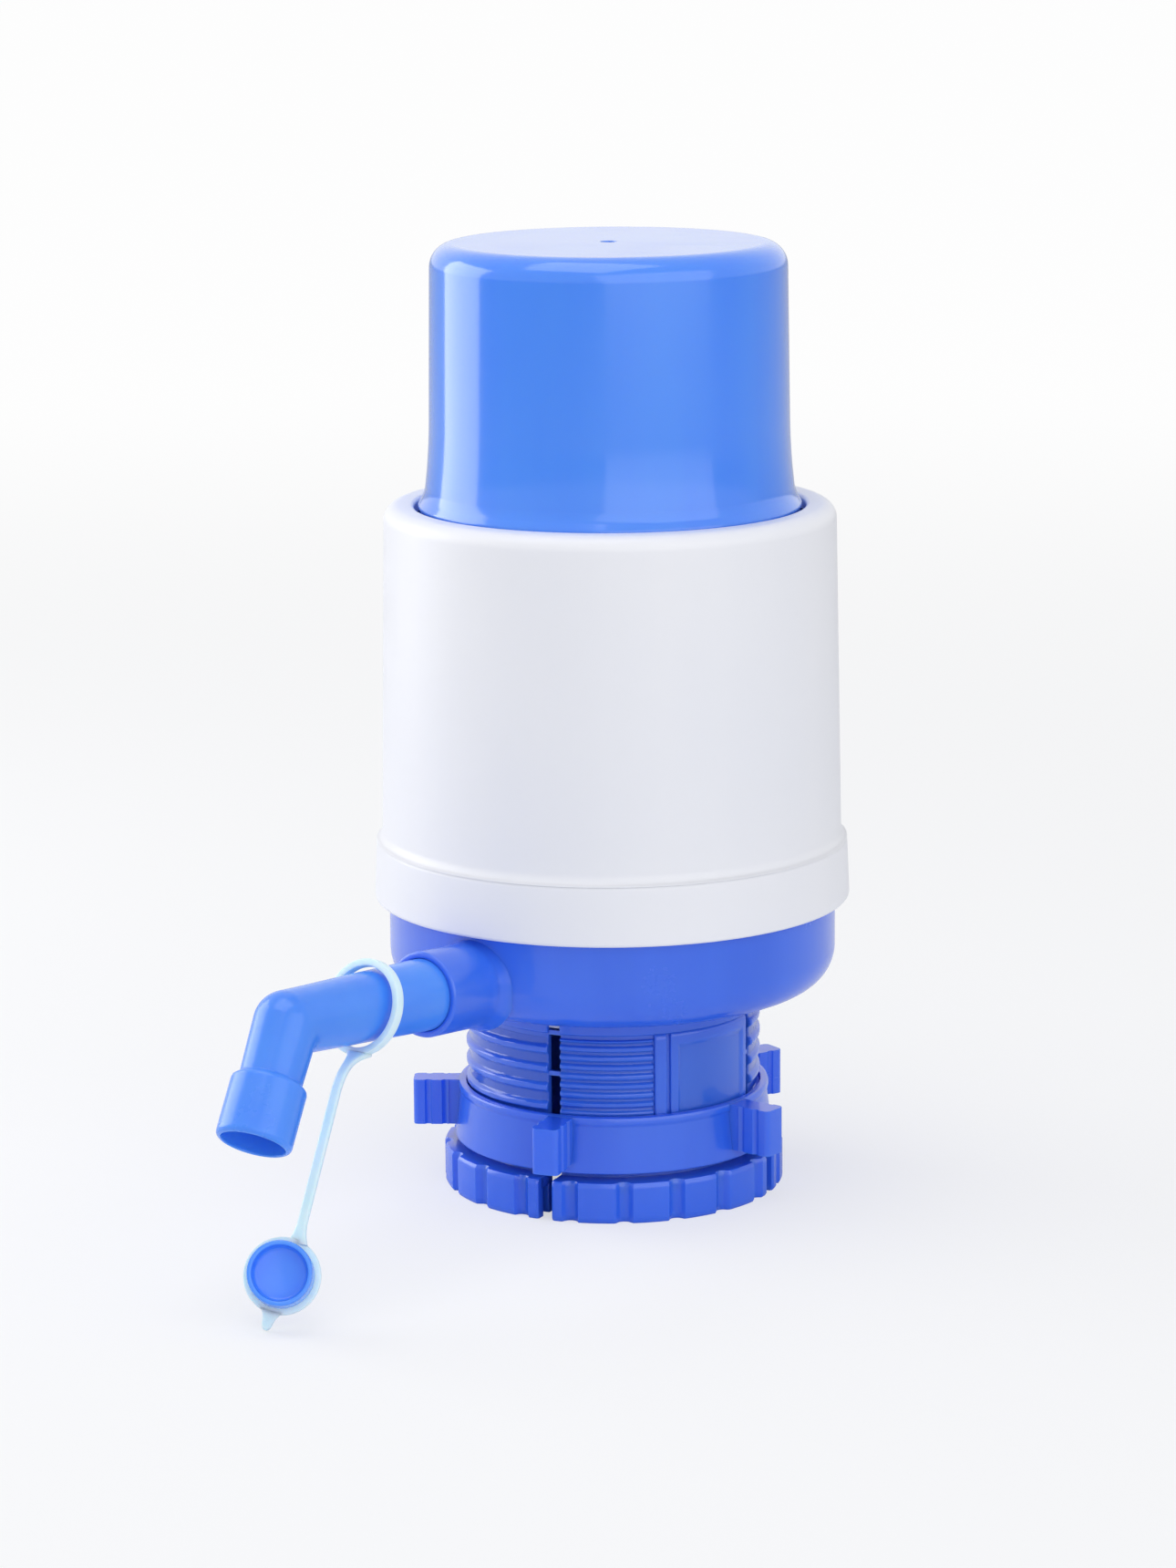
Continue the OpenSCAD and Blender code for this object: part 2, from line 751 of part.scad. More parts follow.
module neck_gasket() {
    gasket_r = neck_r + seat_in - fit_gap;
    color("gainsboro")
        annulus(gasket_r - gasket_w, gasket_r, collar_h - gasket_t, collar_h);
}

// The clamp ring runs on the collar's thread and is turned by its lugs
ring_low = foot_h + ring_gap;
ring_draft = 1.2;
ring_edge = 0.5;
lug_low = 1.9;
lug_drop = 0.2;
lug_corner_r = 1;
lug_groove_r = 0.7;
lug_groove_shares = [0.4, 0.72];
lug_root_share = 0.1;

module lug() {
    reach = ring_bore_r + lug_reach;
    root = ring_bore_r + ring_wall * lug_root_share;
    height = ring_h - lug_low - lug_drop;
    difference() {
        union() {
            translate([root, -lug_t / 2, 0]) cube([reach - lug_corner_r - root, lug_t, height]);
            translate([root, lug_corner_r - lug_t / 2, 0]) cube([reach - root, lug_t - 2 * lug_corner_r, height]);
            for (side = [-1, 1])
                translate([reach - lug_corner_r, side * (lug_t / 2 - lug_corner_r), 0])
                    cylinder(r = lug_corner_r, h = height);
        }
        for (side = [-1, 1], share = lug_groove_shares)
            translate([ring_bore_r + lug_reach * share, side * (lug_t / 2 + lug_groove_r / 2), -cut])
                cylinder(r = lug_groove_r, h = height + 2 * cut);
    }
}

module clamp_ring() {
    outer_low = ring_bore_r + ring_wall;
    outer_high = outer_low - ring_draft;
    color("royalblue")
        union() {
            rotate_extrude()
                polygon([[ring_bore_r, ring_low], [outer_low, ring_low],
                    [outer_high, ring_low + ring_h - ring_edge], [outer_high - ring_edge, ring_low + ring_h],
                    [ring_bore_r, ring_low + ring_h]]);
            around(lugs, lug_az)
                translate([0, 0, ring_low + lug_low]) lug();
        }
}

// The spout: a pipe that turns in the socket, a bend, and a nozzle with a cuff at its end
spout_end_gap = 1;
spout_in_s = socket_floor_s + spout_end_gap;
spout_wall = 1.7;
bend_wall = 1.25;
channel_step = 0.2;
bore_in_cuff = 1.9;
spout_bore_r = spout_r - spout_wall;
bend_bore_r = bend_r - bend_wall;
nozzle_channel_r = bend_bore_r - channel_step;
nozzle_bore_depth = cuff_len - bore_in_cuff;
cuff_edge = 1;
cuff_step = 0.9;
spout_ring_in = 3.9;
spout_ring_s = spout_in_s + spout_ring_in;
spout_groove_d = 0.95;
spout_groove_r = spout_r - spout_groove_d;
spout_ring_r = (spout_groove_d + socket_gap) / 2 - seal_gap;
spout_ring_w = 1.4;

module spout() {
    cuff_low = nozzle_len - cuff_len;
    color("royalblue")
        difference() {
            union() {
                on_spout() translate([0, 0, spout_in_s]) cylinder(r = spout_r, h = socket_s - spout_in_s);
                on_spout() translate([0, 0, socket_s]) cylinder(r1 = spout_r, r2 = bend_r, h = elbow_s - socket_s);
                on_nozzle() sphere(r = bend_r);
                on_nozzle() cylinder(r1 = bend_r, r2 = nozzle_r, h = cuff_low + cuff_step);
                on_nozzle()
                    rotate_extrude()
                        polygon(concat(
                            [[0, cuff_low], [nozzle_r, cuff_low], [cuff_r, cuff_low + cuff_step]],
                            arc(cuff_r - cuff_edge, nozzle_len - cuff_edge, cuff_edge, 0, 90, 4),
                            [[0, nozzle_len]]));
            }
            on_spout() translate([0, 0, spout_in_s - cut]) cylinder(r = spout_bore_r, h = socket_s - spout_in_s + cut);
            on_spout() translate([0, 0, socket_s]) cylinder(r1 = spout_bore_r, r2 = bend_bore_r, h = elbow_s - socket_s);
            on_nozzle() sphere(r = bend_bore_r);
            on_nozzle() cylinder(r = nozzle_channel_r, h = nozzle_len);
            on_nozzle() translate([0, 0, nozzle_len - nozzle_bore_depth]) cylinder(r = nozzle_bore_r, h = nozzle_len);
            on_spout()
                translate([0, 0, spout_ring_s])
                    annulus(spout_groove_r, spout_r + cut, -spout_ring_w / 2, spout_ring_w / 2);
        }
}

module spout_o_ring() {
    color("dimgray")
        on_spout()
            translate([0, 0, spout_ring_s])
                seal_ring((spout_groove_r + socket_bore_r) / 2, spout_ring_r);
}

// The tether: a loop round the spout, a strap that leans out, and an end ring whose tab rests on the floor
ring_out = 36.4;
ring_side = 10.4;
ring_face_az = 217;
ring_lean = 23;
ring_roll = 17;
entry_roll = 25;
ring_hole_r = 4;
tab_reach = 9.6;
tab_root_w = 3.6;
tab_tip_r = 0.9;
knee_out = 8;
bend_len = 6;
bend_steps = 8;
strap_in = 0.9;
strap_seat = 0.4;
ring_x = loop_s + ring_out;
ring_z = (tab_reach * cos(ring_roll) + tab_tip_r) * cos(ring_lean) + strap_t * sin(ring_lean);

// Directions: along the spout, away under it, and the foot of the leaning loop
along = [-cos(spout_tilt), 0, sin(spout_tilt)];
under = cos(spout_swivel) * [-sin(spout_tilt), 0, -cos(spout_tilt)] + sin(spout_swivel) * [0, -1, 0];
loop_foot = cos(loop_lean) * under + sin(loop_lean) * along;

// Directions of the end ring: down its face, along its tab and out of its face
face_down = [sin(ring_lean) * cos(ring_face_az), sin(ring_lean) * sin(ring_face_az), -cos(ring_lean)];
face_side = [-sin(ring_face_az), cos(ring_face_az), 0];
entry_way = cos(entry_roll) * face_down - sin(entry_roll) * face_side;
ring_face = cross(face_down, face_side);

// The strap's two ends, and the upright plane through them that it lies in
strap_start = [0, 0, spout_z] + loop_s * along + (loop_r + loop_wall - strap_seat) * loop_foot;
strap_end = [-ring_x, -ring_side, ring_z] - strap_t / 2 * ring_face - (ring_r - strap_in) * entry_way;
strap_run = strap_end - strap_start;
strap_az = atan2(strap_run.y, strap_run.x);

// The strap's line in that plane: outwards, round a bend and straight down to the end ring
line_start = [0, strap_start.z];
line_knee = line_start + [knee_out, 0];
line_end = [norm([strap_run.x, strap_run.y]), strap_end.z];
line_way = (line_end - line_knee) / norm(line_end - line_knee);
bend_end = line_knee + bend_len * line_way;

function bend_point(t) = pow(1 - t, 2) * line_start + 2 * t * (1 - t) * line_knee + t * t * bend_end;
function bend_way(t) = (1 - t) * (line_knee - line_start) + t * (bend_end - line_knee);
function square_to(way) = [-way.y, way.x] / norm(way) * strap_t / 2;

module strap() {
    bends = [for (i = [0:bend_steps]) i / bend_steps];
    upper = concat(
        [for (t = bends) bend_point(t) + square_to(bend_way(t))],
        [line_end + square_to(line_way)]);
    lower = concat(
        [line_end - square_to(line_way)],
        [for (i = [bend_steps:-1:0]) bend_point(bends[i]) - square_to(bend_way(bends[i]))]);
    translate([strap_start.x, strap_start.y, 0])
        rotate([90, 0, strap_az])
            translate([0, 0, -strap_w / 2])
                linear_extrude(height = strap_w)
                    polygon(concat(upper, lower));
}

// Turns children so that +Z is the way that the end ring faces and +X runs along its tab
module on_ring() {
    translate([-ring_x, -ring_side, ring_z])
        rotate([0, 0, ring_face_az])
            rotate([0, 90 - ring_lean, 0])
                rotate([0, 0, -ring_roll])
                    children();
}

module tether() {
    color("paleturquoise")
        union() {
            on_spout()
                translate([0, 0, loop_s])
                    rotate([0, loop_lean, 0])
                        annulus(loop_r, loop_r + loop_wall, -loop_w / 2, loop_w / 2);
            strap();
            on_ring()
                difference() {
                    translate([0, 0, -strap_t])
                        union() {
                            cylinder(r = ring_r, h = strap_t);
                            linear_extrude(height = strap_t)
                                polygon([[ring_r - cut, -tab_root_w / 2], [tab_reach, -tab_tip_r],
                                    [tab_reach, tab_tip_r], [ring_r - cut, tab_root_w / 2]]);
                            translate([tab_reach, 0, 0]) cylinder(r = tab_tip_r, h = strap_t);
                        }
                    translate([0, 0, -strap_t - cut]) cylinder(r = ring_hole_r, h = strap_t + 2 * cut);
                }
        }
}

// The stopper is a hollow plug on a stud, and a head behind holds it in the end ring
stud_r = ring_hole_r - fit_gap;
stud_head_r = 5.2;
stud_head_t = 1.2;
plug_wall = 0.9;
plug_floor_t = 3;
plug_edge = 0.5;

module stopper() {
    color("royalblue")
        on_ring()
            rotate_extrude()
                polygon([[0, -strap_t - stud_head_t], [stud_head_r, -strap_t - stud_head_t],
                    [stud_head_r, -strap_t], [stud_r, -strap_t], [stud_r, 0], [plug_r, 0],
                    [plug_r, plug_len - plug_edge], [plug_r - plug_edge, plug_len],
                    [plug_r - plug_wall, plug_len], [plug_r - plug_wall, plug_floor_t], [0, plug_floor_t]]);
}

press_cap();
intake_valve_disc();
intake_valve_cage();
bellows();
bellows_clamp_ring();
plate_screws();
valve_plate();
air_valve_disc();
air_valve_cage();
plate_seal();
housing();
base_cup();
riser_elbow();
riser_o_ring();
neck_collar();
neck_gasket();
clamp_ring();
spout();
spout_o_ring();
tether();
stopper();
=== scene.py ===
from math import copysign, cos, hypot, pi, radians, sin, sqrt, tan
import bmesh
import bpy
from mathutils import Matrix, Vector


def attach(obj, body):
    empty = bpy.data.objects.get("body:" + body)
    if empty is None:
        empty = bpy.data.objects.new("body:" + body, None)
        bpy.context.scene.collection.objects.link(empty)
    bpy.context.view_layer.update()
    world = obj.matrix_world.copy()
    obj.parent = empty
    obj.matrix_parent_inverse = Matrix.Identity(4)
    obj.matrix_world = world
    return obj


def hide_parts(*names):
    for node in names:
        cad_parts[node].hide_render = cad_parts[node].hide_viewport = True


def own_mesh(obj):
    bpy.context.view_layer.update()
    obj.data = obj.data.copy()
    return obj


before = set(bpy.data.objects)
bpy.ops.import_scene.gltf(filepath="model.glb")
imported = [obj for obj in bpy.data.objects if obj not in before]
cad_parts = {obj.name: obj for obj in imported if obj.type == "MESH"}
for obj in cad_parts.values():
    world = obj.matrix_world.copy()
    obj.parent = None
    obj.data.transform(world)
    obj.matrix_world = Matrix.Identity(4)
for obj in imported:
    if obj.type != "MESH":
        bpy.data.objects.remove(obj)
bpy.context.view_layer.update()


# View of the pump as it was photographed: from the front and a little above,
# by a 110 mm lens from nearly a metre away, with the spout towards the left.
def link_to_scene(name, data):
    """A new object in the scene for a camera, a lamp or a mesh."""
    thing = bpy.data.objects.new(name, data)
    bpy.context.scene.collection.objects.link(thing)
    return thing


view = bpy.data.cameras.new("view")
view.lens = 110
view.sensor_width = 36
view.clip_start = 0.05
view.clip_end = 200
camera = link_to_scene("view", view)
camera_place = Vector((-0.75139, -0.58034, 0.2849))
look_azimuth = radians(37.97)
look_down = radians(12.048)
look_roll = radians(-0.408)
look = Vector(
    (
        cos(look_azimuth) * cos(look_down),
        sin(look_azimuth) * cos(look_down),
        -sin(look_down),
    )
)
camera.matrix_world = (
    Matrix.Translation(camera_place)
    @ look.to_track_quat("-Z", "Y").to_matrix().to_4x4()
    @ Matrix.Rotation(look_roll, 4, "Z")
)
bpy.context.scene.camera = camera
bpy.context.scene.view_settings.view_transform = "Standard"


# Floor and studio: a white floor that fades into the backdrop, a softbox close on the
# pump's left, a wide one over it and a broad one in front, all neutral.
class Signal:
    """One output of a node in a material: sums on Signals add Math nodes there."""

    def __init__(self, tree, socket):
        self.tree = tree
        self.socket = socket

    def node(self, kind, settings=None, sockets=None, out=0):
        made = self.tree.nodes.new(kind)
        for name, value in (settings or {}).items():
            setattr(made, name, value)
        for name, value in (sockets or {}).items():
            if isinstance(value, Signal):
                self.tree.links.new(value.socket, made.inputs[name])
            else:
                made.inputs[name].default_value = value
        return Signal(self.tree, made.outputs[out])

    def maths(self, operation, first, second):
        return self.node("ShaderNodeMath", {"operation": operation}, {0: first, 1: second})

    def __add__(self, other):
        return self.maths("ADD", self, other)

    def __radd__(self, other):
        return self.maths("ADD", other, self)

    def __mul__(self, other):
        return self.maths("MULTIPLY", self, other)

    def __rmul__(self, other):
        return self.maths("MULTIPLY", other, self)

    def span(self, low, high, out_low=0.0, out_high=1.0):
        """Carries low..high smoothly over to out_low..out_high."""
        reach = {"From Min": low, "From Max": high, "To Min": out_low, "To Max": out_high}
        return self.node(
            "ShaderNodeMapRange",
            {"interpolation_type": "SMOOTHSTEP"},
            {"Value": self, **reach},
        )

    def blend(self, first, second):
        """A colour between two colours, of which 0 gives the first."""
        first_colour, second_colour, mixed_colour = 6, 7, 2
        return self.node(
            "ShaderNodeMix",
            {"data_type": "RGBA"},
            {"Factor": self, first_colour: first, second_colour: second},
            out=mixed_colour,
        )


def finish_named(name):
    """A new material: its name, a Signal of Object coordinates and its shader."""
    made = bpy.data.materials.new(name)
    made.use_nodes = True
    tree = made.node_tree
    shader = tree.nodes["Principled BSDF"]
    place = Signal(tree, tree.nodes.new("ShaderNodeTexCoord").outputs["Object"])
    return made, place, shader


def feed(shader, **signals):
    """Links Signals to the shader's sockets, and sets numbers and colours on them."""
    for name, value in signals.items():
        socket = shader.inputs[name.replace("_", " ")]
        if isinstance(value, Signal):
            value.tree.links.new(value.socket, socket)
        else:
            socket.default_value = value


ground = bmesh.new()
bmesh.ops.create_grid(ground, x_segments=2, y_segments=2, size=60)
floor_mesh = bpy.data.meshes.new("studio_floor")
ground.to_mesh(floor_mesh)
ground.free()
floor = link_to_scene("studio_floor", floor_mesh)
floor_paint, floor_place, floor_shader = finish_named("studio_floor")
feed(floor_shader, Base_Color=(0.86, 0.87, 0.9, 1), Roughness=0.9, Specular_IOR_Level=0.1)
floor_tree = floor_paint.node_tree
light_path = floor_tree.nodes.new("ShaderNodeLightPath")
to_camera = Signal(floor_tree, light_path.outputs["Is Camera Ray"])
glow = to_camera.node("ShaderNodeEmission", {}, {"Color": (1, 1, 1, 1), "Strength": 1.0})
lit = Signal(floor_tree, floor_shader.outputs["BSDF"])
away = floor_place.node(
    "ShaderNodeVectorMath", {"operation": "LENGTH"}, {0: floor_place}, out="Value"
)
whitened = to_camera * away.span(0.12, 1.3, out_low=0.6, out_high=0.97)
shown = to_camera.node("ShaderNodeMixShader", {}, {0: whitened, 1: lit, 2: glow})
floor_end = floor_tree.nodes["Material Output"]
floor_tree.links.new(shown.socket, floor_end.inputs["Surface"])
floor_mesh.materials.append(floor_paint)

room = bpy.data.worlds.new("studio")
room.use_nodes = True
room_tree = room.node_tree
room_path = room_tree.nodes.new("ShaderNodeLightPath")
seen, glossy, through = (
    Signal(room_tree, room_path.outputs[kind])
    for kind in ("Is Camera Ray", "Is Glossy Ray", "Is Transmission Ray")
)
room_light = 0.53
room_strength = (seen + glossy + through).span(0.0, 1.0, room_light, 1.0)
backing = room_tree.nodes["Background"]
backing.inputs["Color"].default_value = (0.97, 0.98, 1, 1)
room_tree.links.new(room_strength.socket, backing.inputs["Strength"])
bpy.context.scene.world = room


def softbox(name, azimuth, height, distance, width, tall, power):
    """A rectangular lamp that faces the middle of the pump."""
    lamp = bpy.data.lights.new(name, "AREA")
    lamp.shape = "RECTANGLE"
    lamp.size = width
    lamp.size_y = tall
    lamp.energy = power
    aim = Vector((0, 0, 0.1))
    spot = Vector(
        (distance * cos(radians(azimuth)), distance * sin(radians(azimuth)), height)
    )
    facing = (aim - spot).to_track_quat("-Z", "Y").to_matrix().to_4x4()
    link_to_scene(name, lamp).matrix_world = Matrix.Translation(spot) @ facing


softbox("key_left", 110, height=0.27, distance=0.62, width=0.46, tall=0.5, power=1.75)
softbox("over", 180, height=1.4, distance=0.35, width=1.1, tall=1.1, power=5.6)
softbox("fill_front", 250, height=0.8, distance=1.9, width=3.0, tall=1.8, power=15.5)


# Press cap: the dome that the hand pushes, injection moulded in glossy blue polypropylene.
# It has an air hole in the middle of its top, a thin flared lip, a bead that keeps it in
# the housing, and three ring ribs inside, for the valve's seat, its cage and the bellows.
mm = 0.001


def ring_of(solid, radius, height):
    """The edges of a turned solid at a radius and height in metres."""
    return [
        edge
        for edge in solid.edges
        if all(
            abs(hypot(v.co.x, v.co.y) - radius) < 1e-6 and abs(v.co.z - height) < 1e-6
            for v in edge.verts
        )
    ]


def turn(solid, outline, steps=144):
    """Adds a shape turned about +Z from points of (radius, height, rounding) in mm."""
    chain = [solid.verts.new((r * mm, 0, z * mm)) for r, z, _ in outline]
    closed = all(r > 0 for r, _, _ in outline)
    ends = chain[1:] + (chain[:1] if closed else [])
    links = [solid.edges.new(pair) for pair in zip(chain, ends)]
    bmesh.ops.spin(
        solid,
        geom=chain + links,
        cent=(0, 0, 0),
        axis=(0, 0, 1),
        angle=2 * pi,
        steps=steps,
        use_merge=True,
    )
    bmesh.ops.remove_doubles(solid, verts=solid.verts[:], dist=1e-7)
    for r, z, rounding in outline:
        if rounding:
            bmesh.ops.bevel(
                solid,
                geom=ring_of(solid, r * mm, z * mm),
                offset=rounding * mm,
                segments=max(2, min(10, round(rounding * 3 + 1))),
                profile=0.5,
                affect="EDGES",
                material=-1,
            )


def box_bar(solid, size, middle, turned):
    """Adds a bar by its size and middle in mm, then turns it about +Z by an angle."""
    bar = bmesh.ops.create_cube(solid, size=1)["verts"]
    bmesh.ops.scale(solid, vec=[side * mm for side in size], verts=bar)
    bmesh.ops.translate(solid, vec=[place * mm for place in middle], verts=bar)
    turning = Matrix.Rotation(turned, 3, "Z")
    bmesh.ops.rotate(solid, cent=(0, 0, 0), matrix=turning, verts=bar)


def make_piece(name, solid, body, material, replaced=(), sharp=35):
    """Turns a finished bmesh into a piece of the pump that rides on its body."""
    bmesh.ops.recalc_face_normals(solid, faces=solid.faces[:])
    for face in solid.faces:
        face.smooth = True
    for edge in solid.edges:
        joined = len(edge.link_faces) == 2
        edge.smooth = joined and edge.calc_face_angle(0) < radians(sharp)
    mesh = bpy.data.meshes.new(name)
    solid.to_mesh(mesh)
    solid.free()
    mesh.materials.append(material)
    piece = link_to_scene(name, mesh)
    weights = piece.modifiers.new("even_shading", "WEIGHTED_NORMAL")
    weights.keep_sharp = True
    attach(piece, body)
    if replaced:
        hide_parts(*replaced)
    return piece


def noise(place, scale, detail=3.0, stretch=(1.0, 1.0, 1.0)):
    """Cloudy noise on a piece, whose pattern is long where its stretch is short."""
    spread = place.node("ShaderNodeMapping", {}, {"Vector": place, "Scale": stretch})
    return spread.node(
        "ShaderNodeTexNoise", {}, {"Vector": spread, "Scale": scale, "Detail": detail}
    )


def bumped(place, height, depth):
    """A Normal from a height Signal, with its depth in metres."""
    return place.node(
        "ShaderNodeBump", {}, {"Height": height, "Distance": depth, "Strength": 1.0}
    )


def blue_plastic(name, deep, pale, roughness, coat, streak=(1, 1, 0.12)):
    """Moulded blue polypropylene: faint flow lines, rubbed patches and a fine skin."""
    made, place, shader = finish_named(name)
    flow = noise(place, 55, 4, streak)
    cloud = noise(place, 22, 2)
    rubbed = noise(place, 45, 4, (1, 1, 0.6)).span(0.4, 0.75)
    skin = noise(place, 900, 2)
    feed(
        shader,
        Base_Color=(flow * 0.6 + cloud * 0.4).span(0.3, 0.7).blend(deep, pale),
        Roughness=roughness + rubbed * 0.05 + skin * 0.02,
        Normal=bumped(place, skin * 0.15 + flow * 0.85, 0.00004),
        Subsurface_Weight=0.3,
        Subsurface_Radius=(0.25, 0.6, 1.0),
        Subsurface_Scale=0.004,
        Coat_Weight=coat,
        Coat_Roughness=0.08,
        IOR=1.49,
    )
    return made


cap_blue = blue_plastic(
    "cap_blue", (0.042, 0.23, 1.0, 1), (0.055, 0.27, 1.0, 1), roughness=0.16, coat=0.75
)
cap_top = 192
cap_ceiling = 190.1
boss_end = 184.1
air_hole_r = 1.6
cap_waist = 151
lip_top = 140
lip_r = 38.4
guide_r = 37.4
guide_low = 134.3
bead_top = 137
bead_r = 40.4

press_cap = bmesh.new()
turn(
    press_cap,
    [
        (air_hole_r, cap_top, 0.25),
        (35.5, cap_top, 4.7),
        (36.1, cap_waist, 5),
        (37.05, 142.3, 1.2),
        (lip_r, lip_top, 0.25),
        (lip_r, 139.3, 0.25),
        (guide_r, 138.5, 0),
        (guide_r, bead_top, 0.2),
        (bead_r, bead_top, 0.4),
        (bead_r, 135.6, 0.5),
        (guide_r, guide_low, 0.4),
        (35.5, guide_low, 0.4),
        (35.2, 142, 1),
        (34.2, cap_waist, 3),
        (33.6, cap_ceiling, 2.8),
        (air_hole_r, cap_ceiling, 0.2),
    ],
)
rib_root = 191
cage_rib = (14, 15.5, boss_end, 96)
bellows_rib = (20.5, 22, boss_end, 96)
seat_rib = (4, 5.5, 188.6, 64)
for inner, outer, end, steps in (cage_rib, bellows_rib, seat_rib):
    turn(
        press_cap,
        [(inner, end, 0.3), (outer, end, 0.3), (outer, rib_root, 0), (inner, rib_root, 0)],
        steps,
    )
webs = 8
web_size = (6.5, 1.2, 7)
web_middle = (18, 0, 187.7)
for number in range(webs):
    box_bar(press_cap, web_size, web_middle, number * 2 * pi / webs)
make_piece("press_cap_shell", press_cap, "cap", cap_blue, ["press_cap"])


# Housing: the white cylinder that guides the cap, moulded in unpigmented, slightly milky
# polypropylene. It has a soft shoulder at its mouth and a flange over the cup's wall, and
# a skirt inside that holds the valve plate down.
milk, milk_place, milk_shader = finish_named("milky_white")
milk_flow = noise(milk_place, 30, 3, (1, 1, 0.1))
milk_cloud = noise(milk_place, 14, 2)
milk_skin = noise(milk_place, 700, 3)
milk_tone = (milk_flow * 0.5 + milk_cloud * 0.5).span(0.3, 0.7)
feed(
    milk_shader,
    Base_Color=milk_tone.blend((0.84, 0.85, 0.9, 1), (0.89, 0.89, 0.92, 1)),
    Roughness=0.36 + noise(milk_place, 90, 4).span(0.45, 0.75) * 0.1,
    Normal=bumped(milk_place, milk_skin * 0.3 + milk_flow, 0.00006),
    Subsurface_Weight=0.25,
    Subsurface_Radius=(1.0, 1.0, 1.0),
    Subsurface_Scale=0.003,
    IOR=1.49,
)
flange_low = 59.9
flange_r = 48.2
housing_mouth = 140
mouth_under = 137.3
mouth_r = 39.2
cup_rim = 70
cup_rim_r = 45.6
skirt_in = 40.8
skirt_out = 42.9
skirt_low = 63.5

housing = bmesh.new()
turn(
    housing,
    [
        (cup_rim_r, flange_low, 0.2),
        (flange_r, flange_low, 0.7),
        (47.7, 71.9, 0.8),
        (46.5, 72.6, 1.4),
        (45.3, housing_mouth, 3),
        (mouth_r, housing_mouth, 0.9),
        (mouth_r, mouth_under, 0.3),
        (43.3, mouth_under, 1.5),
        (44.5, 74, 2),
        (skirt_in, cup_rim, 0.6),
        (skirt_in, skirt_low, 0.3),
        (skirt_out, skirt_low, 0.3),
        (skirt_out, cup_rim, 0.2),
        (cup_rim_r, cup_rim, 0.2),
    ],
    160,
)
make_piece("housing_shell", housing, "base", milk, ["housing"])


# Base cup: the blue bowl under the housing, moulded in one piece with the socket of the
# spout, which leaves its lower corner and rises by four degrees.
# This blue is the cap's blue made darker: painted shade on the cup, its socket, the collar and
# the clamp ring, which sit low under the housing.
cup_blue_painted_shade = blue_plastic(
    "cup_blue_painted_shade", (0.031, 0.137, 0.79, 1), (0.042, 0.167, 0.88, 1), roughness=0.22, coat=0.4
)
collar_top = 41.4
cup_floor = 43.9
cup_r = 45.3
cup_inner_r = 43.3
plate_ledge = 59.5
ledge_r = 41
floor_hole_r = 7.9

base_cup = bmesh.new()
turn(
    base_cup,
    [
        (floor_hole_r, collar_top, 0.2),
        (cup_r, collar_top, 8),
        (cup_r, cup_rim, 0.3),
        (cup_inner_r, cup_rim, 0.3),
        (cup_inner_r, plate_ledge, 0.2),
        (ledge_r, plate_ledge, 0.2),
        (ledge_r, 58.5, 0),
        (cup_inner_r, 56.2, 0),
        (cup_inner_r, cup_floor, 6),
        (floor_hole_r, cup_floor, 0.2),
    ],
    160,
)
spout_rise = 4
spout_height = 46.6


def stand_on_spout(solid, verts):
    """Turns vertices from a line along +Z to the spout's line."""
    laid = Matrix.Rotation(radians(spout_rise - 90), 3, "Y")
    bmesh.ops.rotate(solid, cent=(0, 0, 0), matrix=laid, verts=verts)
    bmesh.ops.translate(solid, vec=(0, 0, spout_height * mm), verts=verts)


socket_bore_r = 7.15
socket_r = 8.45
socket_end = 61
socket = bmesh.new()
turn(
    socket,
    [
        (socket_bore_r, 46, 0),
        (9.6, 43.5, 0),
        (8.75, 46.5, 1.2),
        (socket_r, 48.5, 1),
        (socket_r, socket_end, 0.6),
        (socket_bore_r, socket_end, 0.35),
    ],
    96,
)
stand_on_spout(socket, socket.verts[:])
make_piece("cup_bowl", base_cup, "base", cup_blue_painted_shade, ["base_cup"])
make_piece("spout_socket", socket, "base", cup_blue_painted_shade)


# Neck collar: four springy fingers that go over the bottle's neck, moulded in the cup's
# plastic. Two carry a coarse thread outside, the other two fine ribs, an upright rib and a
# smooth panel, and all four stand on a toothed foot with a hollow underside.
def fillet(distance, radius):
    """How far a rounded edge falls back at a distance from the edge."""
    short = max(0.0, radius - distance)
    return radius - sqrt(radius * radius - short * short)


def wall(
    solid, start, end, low, high, outside, inside, columns, rows, edge=0.25, crowd=True
):
    """Adds a part of a round wall whose outer face follows outside(azimuth, height) in mm.

    Azimuths are in degrees, and crowd brings the columns closer together at the edges.
    """
    skins = []
    for inner in (False, True):
        skin = bmesh.ops.create_grid(solid, x_segments=columns, y_segments=rows, size=1)
        skin = skin["verts"]
        reach = max(vert.co.x for vert in skin)
        for vert in skin:
            across, up = ((side / reach + 1) / 2 for side in vert.co.xy)
            if crowd:
                across = (1 - cos(pi * across)) / 2
            azimuth = start + (end - start) * across
            height = low + (high - low) * up
            radius = inside
            if not inner:
                radius = outside(azimuth, height)
                side = radius * radians(min(azimuth - start, end - azimuth))
                radius -= fillet(side, edge) + fillet(min(height - low, high - height), edge)
            x, y = radius * cos(radians(azimuth)), radius * sin(radians(azimuth))
            vert.co = Vector((x, y, height)) * mm
        skins.append(set(skin))
    rims = [
        link
        for link in solid.edges
        if link.is_boundary and any(all(v in skin for v in link.verts) for skin in skins)
    ]
    bmesh.ops.bridge_loops(solid, edges=rims)


def ridge(height, pitch, crest, flank, tall):
    """Height of evenly spaced ridges with soft flanks."""
    off_crest = abs((height + pitch / 2) % pitch - pitch / 2)
    slope = min(1.0, max(0.0, (crest / 2 + flank - off_crest) / flank))
    return tall * slope * slope * (3 - 2 * slope)


finger_r = 29.3
thread_pitch = 3.9
thread_t = 0.75
rib_pitch = 1.9
rib_t = 0.55
tooth_r = 34.7
tooth_every = 18
notch_r = 1.65
frame_r = 29.95
panel_sunk = 0.4


